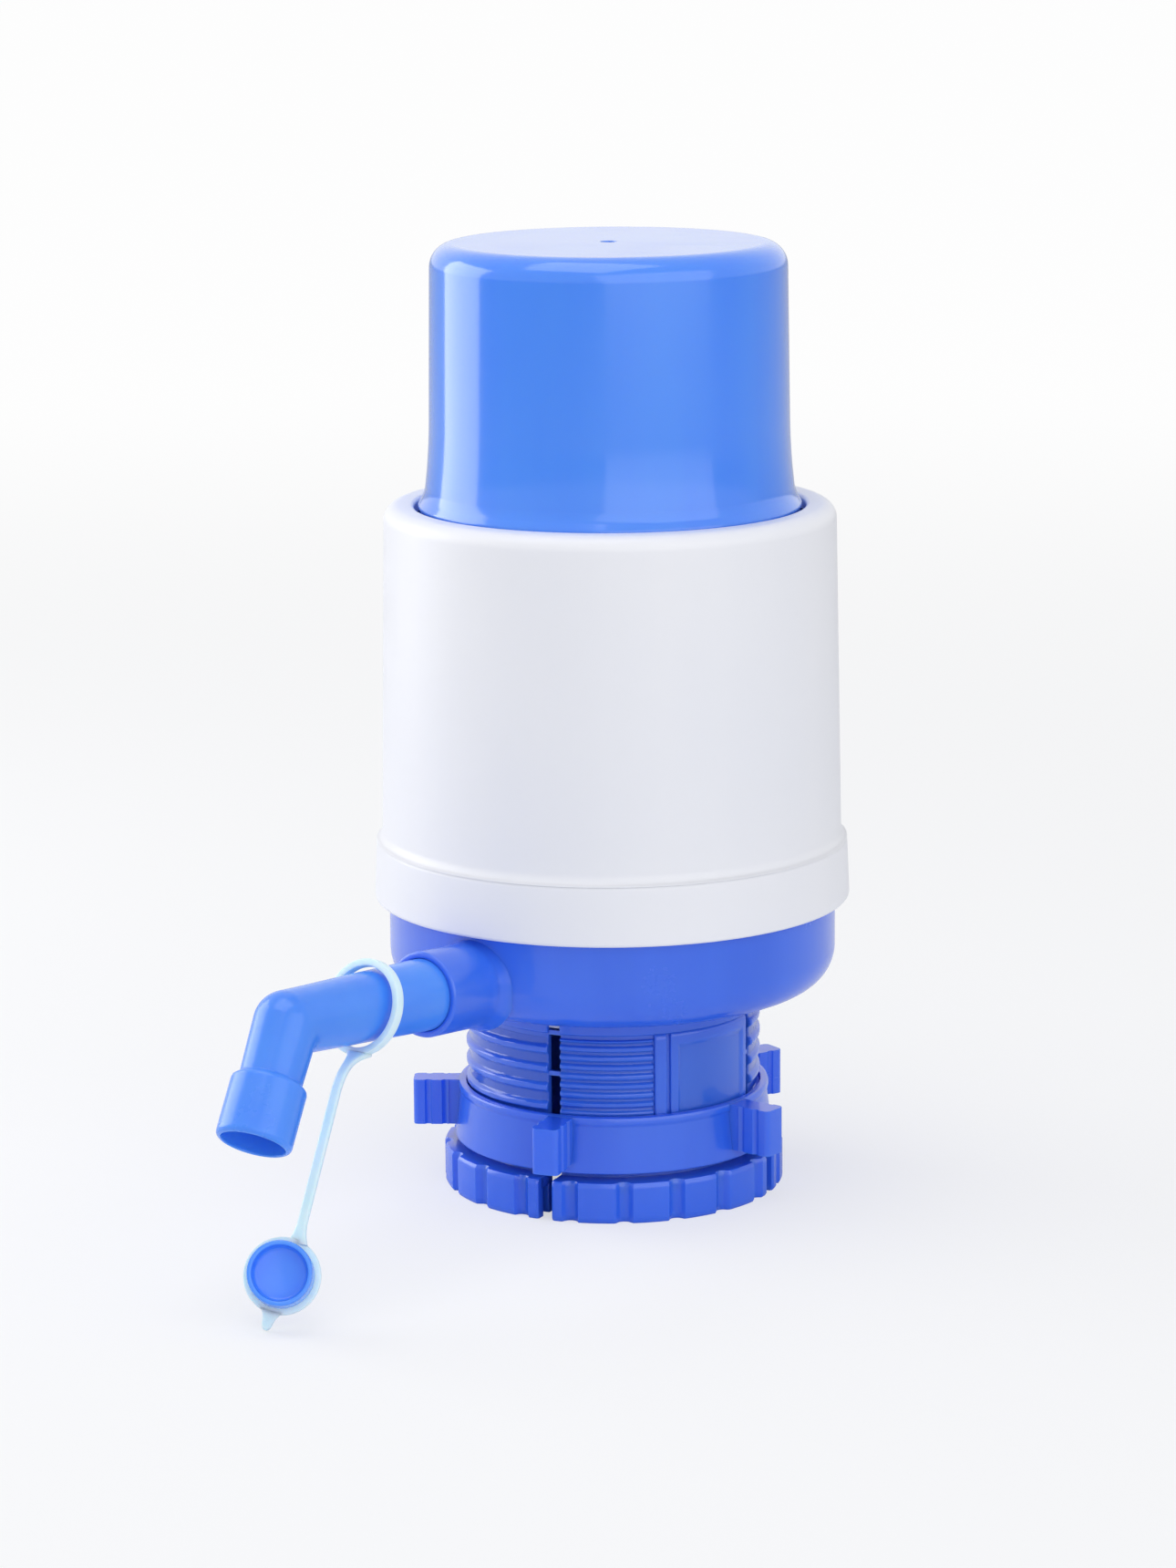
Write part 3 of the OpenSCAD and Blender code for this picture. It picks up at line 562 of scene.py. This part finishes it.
def smooth_skin(radius):
    return lambda azimuth, height: radius


def core_skin(azimuth, height):
    """The plain wall of a finger, thicker inside the foot."""
    return 29.8 if height < 6.8 else finger_r


def thread_skin(azimuth, height):
    climb = thread_pitch * azimuth / 360
    return finger_r + ridge(
        height - climb - 0.6, thread_pitch, crest=0.8, flank=0.75, tall=thread_t
    )


def rib_skin(azimuth, height):
    return finger_r + ridge(height - 0.3, rib_pitch, crest=0.55, flank=0.5, tall=rib_t)


def tooth_skin(azimuth, height):
    """The foot's edge, with a round notch after each tooth."""
    half = tooth_every / 2
    off_notch = tooth_r * radians((azimuth - 5 + half) % tooth_every - half)
    return tooth_r - max(0.0, sqrt(max(0.0, notch_r * notch_r - off_notch * off_notch)) - 0.3)


def panel_skin(start, end, low, high):
    """A smooth panel between two azimuths and two heights, sunk inside a frame."""

    def skin(azimuth, height):
        inside_frame = min(azimuth - start, end - azimuth, height - low, high - height)
        return frame_r - panel_sunk * min(1.0, max(0.0, inside_frame / 0.6))

    return skin


fingers = 4
finger_every = 90
bore_r = 28
skin_in = 29
tongue_in = 28.8
tongue_out = 29.79
foot_top = 8.2
foot_in = 32.2
slot_at = 14
slot_half = 2.5
grip_low = 9.2
thread_top = 36.4
panel_top = 37.4
finger_top = 38.2

neck_collar = bmesh.new()
for number in range(fingers):
    first = slot_at + finger_every * number + slot_half
    last = first + finger_every - 2 * slot_half
    middle = (first + last) / 2
    finger = (neck_collar, first, last)
    wall(*finger, 0, finger_top, core_skin, bore_r, columns=36, rows=16, edge=0.3)
    wall(*finger, 37.2, 39.6, smooth_skin(tongue_out), tongue_in, columns=36, rows=10)
    wall(
        *finger, 0, foot_top, tooth_skin, foot_in, columns=120, rows=14, edge=0.35, crowd=False
    )
    wall(*finger, 6, 8.1, smooth_skin(33), skin_in, columns=36, rows=4, edge=0.1)
    if number % 2:
        wall(
            *finger, grip_low, thread_top, thread_skin, skin_in, columns=48, rows=118, edge=0.3
        )
        continue
    ribs = (neck_collar, first, middle - 5.6)
    upright = (neck_collar, middle - 5.3, middle - 0.3)
    panel = (neck_collar, middle + 1.2, last)
    framed = panel_skin(middle + 4.5, last - 3.5, 12, 35)
    wall(*ribs, grip_low, thread_top, rib_skin, skin_in, columns=30, rows=136, edge=0.3)
    wall(*upright, grip_low, panel_top, smooth_skin(30.15), 28.5, columns=14, rows=40, edge=0.45)
    wall(*panel, grip_low, panel_top, framed, skin_in, columns=56, rows=60, edge=0.35)
turn(
    neck_collar,
    [
        (tongue_in, 39.5, 0.1),
        (tongue_out, 39.5, 0.15),
        (tongue_out, collar_top, 0),
        (tongue_in, collar_top, 0),
    ],
)
tie_bar = (0.8, 3.1, 0.9)
tie_bar_heights = (37.35, 28.95)
for number in range(fingers):
    for height in tie_bar_heights:
        slot_azimuth = radians(slot_at + finger_every * number)
        box_bar(neck_collar, tie_bar, (28.7, 0, height), slot_azimuth)
make_piece("collar_fingers", neck_collar, "base", cup_blue_painted_shade, ["neck_collar"], 40)


# Clamp ring: it runs on the collar's thread and squeezes the fingers when it is turned by
# its five lugs. It is moulded in the same blue plastic, with ridges on the sides of its lugs.
def slab(solid, outline, low, high, rounding):
    """Adds an outline of (x, y) in mm as a slab with rounded upper and lower edges."""
    corners = [solid.verts.new((x * mm, y * mm, low * mm)) for x, y in outline]
    lower_face = bmesh.ops.contextual_create(solid, geom=corners)["faces"]
    grown = bmesh.ops.extrude_face_region(solid, geom=lower_face)["geom"]
    upper = [v for v in grown if isinstance(v, bmesh.types.BMVert)]
    bmesh.ops.translate(solid, vec=(0, 0, (high - low) * mm), verts=upper)
    whole = set(corners + upper)
    level_edges = [
        link
        for link in solid.edges
        if all(v in whole for v in link.verts)
        and abs(link.verts[0].co.z - link.verts[1].co.z) < 1e-7
    ]
    made = bmesh.ops.bevel(
        solid,
        geom=level_edges,
        offset=rounding * mm,
        segments=3,
        profile=0.5,
        affect="EDGES",
        clamp_overlap=True,
        material=-1,
    )
    return list({v for v in whole if v.is_valid} | set(made["verts"]))


ring_low = 9.5
ring_top = 21
ring_bore_r = 30.1

clamp_ring = bmesh.new()
turn(
    clamp_ring,
    [
        (ring_bore_r, ring_low, 0.3),
        (32.55, ring_low, 0.45),
        (31.45, 19.2, 0.3),
        (31.8, 19.6, 0.25),
        (31.7, ring_top, 0.5),
        (ring_bore_r, ring_top, 0.3),
    ],
)
lugs = 5
lug_low = 11.4
lug_top = 20.8
lug_out = 41.0
lug_length = 10.9
lug_half = 2.75
first_lug = 54
groove_r = 0.8
groove_middle = 3.1
lug_side = [(30.7, lug_half)]
for share in (0.4, 0.72):
    groove_at = ring_bore_r + lug_length * share
    lug_side += [
        (groove_at + groove_r * cos(a), groove_middle - groove_r * sin(a))
        for a in map(radians, (154, 122, 90, 58, 26))
    ]
lug_side += [(40.0, lug_half), (40.5, 2.62), (40.87, 2.25), (lug_out, 1.75)]
lug_outline = [(x, -y) for x, y in lug_side] + lug_side[::-1]
for number in range(lugs):
    lug = slab(clamp_ring, lug_outline, lug_low, lug_top, 0.3)
    turned = Matrix.Rotation(radians(first_lug + 360 / lugs * number), 3, "Z")
    bmesh.ops.rotate(clamp_ring, cent=(0, 0, 0), matrix=turned, verts=lug)
make_piece("clamp_ring_lugs", clamp_ring, "ring", cup_blue_painted_shade, ["clamp_ring"])


# Spout: the bent pipe that swivels in the cup's socket, with a cuff round its open end,
# in a clearer blue plastic that lets some light through.
spout_blue = blue_plastic(
    "spout_blue",
    (0.05, 0.235, 0.97, 1),
    (0.07, 0.29, 1.0, 1),
    roughness=0.22,
    coat=0.2,
    streak=(1, 1, 1),
)
tilt = radians(spout_rise)
swivel = radians(10.2)
bend = radians(58.6)
bend_at = 100.6
along = Vector((-cos(tilt), 0, sin(tilt)))
straight_under = Vector((-sin(tilt), 0, -cos(tilt)))
under = cos(swivel) * straight_under + sin(swivel) * Vector((0, -1, 0))
across = along.cross(under)
spout_foot = Vector((0, 0, spout_height))
corner = spout_foot + bend_at * along
pipe_sides = 64
around_pipe = [2 * pi * i / pipe_sides for i in range(pipe_sides)]


def pipe_ring(distance, radius):
    """Points of a ring on the straight pipe, a distance before the bend."""
    middle = corner - distance * along
    return [middle + radius * (cos(a) * under + sin(a) * across) for a in around_pipe]


def bend_ring(turned, radius):
    """Points of a ring in the bend: a ball on its outer side and a mitre on its inner side."""
    mitre = under - tan(bend / 2) * along
    ball = cos(turned) * under - sin(turned) * along
    return [
        corner + radius * (cos(a) * (mitre if cos(a) > 0 else ball) + sin(a) * across)
        for a in around_pipe
    ]


def nozzle_ring(distance, radius):
    """Points of a ring on the nozzle, a distance after the bend."""
    middle = corner + distance * (cos(bend) * along + sin(bend) * under)
    down = cos(bend) * under - sin(bend) * along
    return [middle + radius * (cos(a) * down + sin(a) * across) for a in around_pipe]


def loft(solid, rings, closed):
    """Adds a skin through rings of points in mm, closed on itself or capped at its ends."""
    ring = bmesh.ops.create_circle(solid, segments=len(rings[0]), radius=1, cap_ends=False)
    ring = ring["verts"]
    own = set(ring)
    links = [link for link in solid.edges if all(v in own for v in link.verts)]
    first_links = links
    for vert, point in zip(ring, rings[0]):
        vert.co = point * mm
    for points in rings[1:] + (rings[:1] if closed else []):
        grown = bmesh.ops.extrude_edge_only(solid, edges=links)["geom"]
        fresh = {v for v in grown if isinstance(v, bmesh.types.BMVert)}
        links = [
            e
            for e in grown
            if isinstance(e, bmesh.types.BMEdge) and all(v in fresh for v in e.verts)
        ]
        ring = [
            next(e.other_vert(v) for e in v.link_edges if e.other_vert(v) in fresh)
            for v in ring
        ]
        for vert, point in zip(ring, points):
            vert.co = point * mm
    if closed:
        bmesh.ops.remove_doubles(solid, verts=solid.verts[:], dist=1e-6)
    else:
        bmesh.ops.holes_fill(solid, edges=first_links + links, sides=0)


bend_steps = 9
bend_r = 6.35
bend_inner_r = 5.1
turns = [bend * i / bend_steps for i in range(bend_steps + 1)]
seal_groove = [(51.2, 7.1), (51.1, 6.15), (48.4, 6.15), (48.3, 7.1)]
pipe_outside = [(53.6, 6.8), (53.3, 7.1), *seal_groove, (39.6, 7.1), (20, 6.72), (4.2, 6.38)]
nozzle_outside = [(4.2, 6.25), (11.4, 6.06)]
cuff_outside = [(11.7, 6.2), (12.1, 6.75), (12.5, 7.2), (13, 7.35)]
cuff_edge = [(23.5 + sin(a), 6.35 + cos(a)) for a in map(radians, (0, 22.5, 45, 67.5, 90))]
nozzle_inside = [(24.35, 6.25), (24.1, 6.2), (13.6, 6.2), (13.5, 4.9), (4, 4.95)]
pipe_inside = [(4, 5.1), (39.6, 5.4), (53.3, 5.4), (53.6, 5.6)]
nozzle_skin = nozzle_outside + cuff_outside + cuff_edge + nozzle_inside
spout = bmesh.new()
loft(
    spout,
    [pipe_ring(*at) for at in pipe_outside]
    + [bend_ring(turned, bend_r) for turned in turns]
    + [nozzle_ring(*at) for at in nozzle_skin]
    + [bend_ring(turned, bend_inner_r) for turned in reversed(turns)]
    + [pipe_ring(*at) for at in pipe_inside],
    closed=True,
)
make_piece("spout_pipe", spout, "spout", spout_blue, ["spout"], 40)


# Tether: a soft strap, moulded in one piece with a loop that hangs round the spout and an end
# ring with a pull tab, whose tip rests on the table. Its pale cyan is partly its thin
# translucent plastic and partly painted light from the strong lamp on its left.
strap_pale_partly_painted_light, strap_place, strap_shader = finish_named("strap_pale_partly_painted_light")
strap_tone = noise(strap_place, 60, 3).span(0.3, 0.7)
feed(
    strap_shader,
    Base_Color=strap_tone.blend((0.62, 0.87, 0.95, 1), (0.74, 0.93, 0.98, 1)),
    Roughness=0.3 + noise(strap_place, 300, 3) * 0.08,
    Normal=bumped(strap_place, noise(strap_place, 1200, 2), 0.00005),
    Subsurface_Weight=0.5,
    Subsurface_Radius=(0.6, 0.9, 1.0),
    Subsurface_Scale=0.002,
    IOR=1.45,
)
lean = radians(17)
loop_at = 78.3
loop_in = 7.9
loop_out = 9.4
loop_half = 1.0
ring_r = 7.3
ring_hole_r = 4
tab_end_r = 0.9
loop_middle = spout_foot + loop_at * along
loop_foot = cos(lean) * under + sin(lean) * along
ring_azimuth = radians(217)
ring_lean = radians(23)
ring_roll = radians(17)
entry_roll = radians(25)
ring_middle = Vector((-114.7, -10.4, 9.826))
face_down = Vector(
    (
        sin(ring_lean) * cos(ring_azimuth),
        sin(ring_lean) * sin(ring_azimuth),
        -cos(ring_lean),
    )
)
face_side = Vector((-sin(ring_azimuth), cos(ring_azimuth), 0))
ring_face = face_down.cross(face_side)
entry_way = cos(entry_roll) * face_down - sin(entry_roll) * face_side
strap_t = 1.4
strap_w = 1.9
strap_start = loop_middle + 9.0 * loop_foot
strap_end = ring_middle - strap_t / 2 * ring_face - 6.4 * entry_way
run = strap_end - strap_start
level = Vector((run.x, run.y, 0)).normalized()
knee = strap_start + 8 * level
straight_way = (strap_end - knee).normalized()
bend_end = knee + 6 * straight_way
knee_steps = 12
straight_steps = 24
strap_sides = 20


def strap_line():
    """Points and directions along the strap: a bend out of the loop, then straight down."""
    for i in range(knee_steps + 1):
        t = i / knee_steps
        point = (1 - t) ** 2 * strap_start + 2 * t * (1 - t) * knee + t * t * bend_end
        yield point, ((1 - t) * (knee - strap_start) + t * (bend_end - knee)).normalized()
    for i in range(1, straight_steps + 1):
        yield bend_end.lerp(strap_end, i / straight_steps), straight_way


def strap_ring(point, way, gone, left):
    """A rounded oblong square to the strap, wider where it joins the loop and the ring."""
    loop_flare = 3.4 * max(0.0, 1 - gone / 6.5) ** 2
    ring_flare = 2.4 * max(0.0, 1 - left / 4.5) ** 2
    width = strap_w + loop_flare + ring_flare
    side = level.cross(Vector((0, 0, 1)))
    face = side.cross(way)
    points = []
    for i in range(strap_sides):
        a = 2 * pi * i / strap_sides
        wide, thick = (copysign(abs(f) ** 0.6, f) for f in (cos(a), sin(a)))
        points.append(point + width / 2 * wide * side + strap_t / 2 * thick * face)
    return points


tether = bmesh.new()
line = list(strap_line())
lengths = [0.0]
for (before, _), (after, _) in zip(line, line[1:]):
    lengths.append(lengths[-1] + (after - before).length)
loft(
    tether,
    [strap_ring(*at, gone, lengths[-1] - gone) for at, gone in zip(line, lengths)],
    closed=False,
)
loop = bmesh.new()
turn(
    loop,
    [
        (loop_in, -loop_half, 0.35),
        (loop_out, -loop_half, 0.35),
        (loop_out, loop_half, 0.35),
        (loop_in, loop_half, 0.35),
    ],
    96,
)
on_spout = (
    Matrix.Translation(spout_foot * mm)
    @ Matrix.Rotation(tilt - pi / 2, 4, "Y")
    @ Matrix.Rotation(swivel, 4, "Z")
    @ Matrix.Translation((0, 0, loop_at * mm))
    @ Matrix.Rotation(lean, 4, "Y")
)
bmesh.ops.transform(loop, matrix=on_spout, verts=loop.verts[:])
on_ring = (
    Matrix.Translation(ring_middle * mm)
    @ Matrix.Rotation(ring_azimuth, 4, "Z")
    @ Matrix.Rotation(pi / 2 - ring_lean, 4, "Y")
    @ Matrix.Rotation(-ring_roll, 4, "Z")
)
end_ring = bmesh.new()
turn(
    end_ring,
    [
        (ring_hole_r, -strap_t, 0.2),
        (ring_r, -strap_t, 0.4),
        (ring_r, 0, 0.4),
        (ring_hole_r, 0, 0.2),
    ],
    96,
)
tab_side = [(6.5, 2.3), (7.2, 1.75), (7.9, 1.3), (8.8, 1.05)]
tab_side += [
    (9.6 + tab_end_r * cos(a), tab_end_r * sin(a)) for a in map(radians, (90, 65, 40, 15))
]
slab(end_ring, [(x, -y) for x, y in tab_side] + tab_side[::-1], -strap_t, 0, 0.3)
bmesh.ops.transform(end_ring, matrix=on_ring, verts=end_ring.verts[:])
for part in (loop, end_ring):
    passing = bpy.data.meshes.new("part_of_tether")
    part.to_mesh(passing)
    part.free()
    tether.from_mesh(passing)
    bpy.data.meshes.remove(passing)
make_piece("strap_and_rings", tether, "tether", strap_pale_partly_painted_light, ["tether"])


# Stopper: the blue hollow plug that closes the nozzle. Its stud is pushed through the end
# ring's hole, and a head behind holds it.
head_r = 5.2
stud_r = 3.9
plug_r = 6.15
plug_end = 6
stopper = bmesh.new()
turn(
    stopper,
    [
        (0, -2.6, 0),
        (head_r, -2.6, 0.35),
        (head_r, -strap_t, 0.2),
        (stud_r, -strap_t, 0),
        (stud_r, 0, 0),
        (plug_r, 0, 0.3),
        (plug_r, plug_end, 0.4),
        (5.25, plug_end, 0.3),
        (5.1, 3.4, 0.8),
        (0, 3, 0),
    ],
    96,
)
bmesh.ops.transform(stopper, matrix=on_ring, verts=stopper.verts[:])
make_piece("stopper_plug", stopper, "tether", spout_blue, ["stopper"])


# Bellows: one blown tube of thin milky polyethylene inside the housing. It springs the cap back,
# and in the real pump its folds close up as the cap goes down; here they are built open, on a
# mesh of their own.
bellows_milk, bellows_place, bellows_shader = finish_named("bellows_milk")
bellows_tone = noise(bellows_place, 40, 3, (1, 1, 0.3)).span(0.3, 0.7)
feed(
    bellows_shader,
    Base_Color=bellows_tone.blend((0.74, 0.77, 0.8, 1), (0.84, 0.86, 0.88, 1)),
    Roughness=0.34 + noise(bellows_place, 220, 3) * 0.12,
    Normal=bumped(bellows_place, noise(bellows_place, 600, 3), 0.00006),
    Subsurface_Weight=0.3,
    Subsurface_Radius=(1.0, 1.0, 1.0),
    Subsurface_Scale=0.002,
    IOR=1.5,
)
fold_out = 31.2
fold_in = 24.9
neck_top = 69
top_under = 182.6
bellows_wall = 1.2
fold_count = 10
half_fold = 112.1 / fold_count / 2
fold_line = [
    (fold_in if i % 2 else fold_out, neck_top + (i + 0.5) * half_fold)
    for i in range(2 * fold_count)
]
bellows = bmesh.new()
turn(
    bellows,
    [
        (fold_out, skirt_low, 0.1),
        (fold_out, 65, 0.4),
        (25.9, 65, 0.3),
        (25.9, neck_top, 0),
        *((r, z, 1.1) for r, z in fold_line),
        (22, top_under, 0.3),
        (22, boss_end, 0.2),
        (14.3, boss_end, 0.2),
        (14.3, top_under, 0.2),
        (20.8, top_under, 0),
        *((r - bellows_wall, z, 0.9) for r, z in fold_line[::-1]),
        (24.7, neck_top, 0),
        (24.7, skirt_low, 0.1),
    ],
    96,
)
folds = make_piece(
    "bellows_folds", bellows, "base", bellows_milk, ["bellows"], 60
)
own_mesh(folds)


# Valves, seals and screws: the small pieces that close the cup and steer air and water.
# The cages, the plate and the riser are unpigmented plastic, the discs and seals black
# rubber, the washer on the bottle's lip soft foam, and the four screws plain steel.
def dress(material, *names):
    """Gives CAD nodes their finish."""
    for name in names:
        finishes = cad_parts[name].data.materials
        finishes.clear()
        finishes.append(material)


natural, natural_place, natural_shader = finish_named("natural_plastic")
natural_tone = noise(natural_place, 35, 3).span(0.3, 0.7)
feed(
    natural_shader,
    Base_Color=natural_tone.blend((0.72, 0.75, 0.77, 1), (0.83, 0.85, 0.86, 1)),
    Roughness=0.33 + noise(natural_place, 150, 3) * 0.12,
    Normal=bumped(natural_place, noise(natural_place, 800, 2), 0.00005),
    Subsurface_Weight=0.3,
    Subsurface_Radius=(1.0, 1.0, 1.0),
    Subsurface_Scale=0.002,
)
dress(natural, "intake_valve_cage", "air_valve_cage", "valve_plate")
dress(natural, "bellows_clamp_ring", "riser_elbow")

rubber, rubber_place, rubber_shader = finish_named("seal_rubber")
rubber_tone = noise(rubber_place, 90, 4).span(0.35, 0.7)
feed(
    rubber_shader,
    Base_Color=rubber_tone.blend((0.02, 0.02, 0.022, 1), (0.05, 0.05, 0.055, 1)),
    Roughness=0.58 + noise(rubber_place, 240, 3) * 0.15,
    Normal=bumped(rubber_place, noise(rubber_place, 1500, 3), 0.00008),
)
dress(rubber, "intake_valve_disc", "air_valve_disc")
dress(rubber, "plate_seal", "riser_o_ring", "spout_o_ring")

foam, foam_place, foam_shader = finish_named("gasket_foam")
foam_tone = noise(foam_place, 60, 3).span(0.3, 0.7)
foam_cells = foam_place.node("ShaderNodeTexVoronoi", {}, {"Vector": foam_place, "Scale": 1400})
feed(
    foam_shader,
    Base_Color=foam_tone.blend((0.66, 0.68, 0.7, 1), (0.78, 0.8, 0.81, 1)),
    Roughness=0.85 + noise(foam_place, 300, 2) * 0.1,
    Normal=bumped(foam_place, foam_cells, 0.0003),
)
dress(foam, "neck_gasket")

steel, steel_place, steel_shader = finish_named("screw_steel")
brushed = noise(steel_place, 500, 4, (1, 1, 0.05))
feed(
    steel_shader,
    Base_Color=brushed.span(0.3, 0.7).blend((0.5, 0.5, 0.51, 1), (0.66, 0.66, 0.67, 1)),
    Metallic=1.0,
    Roughness=0.25 + brushed * 0.2,
    Normal=bumped(steel_place, brushed, 0.00003),
)
dress(steel, "plate_screws")
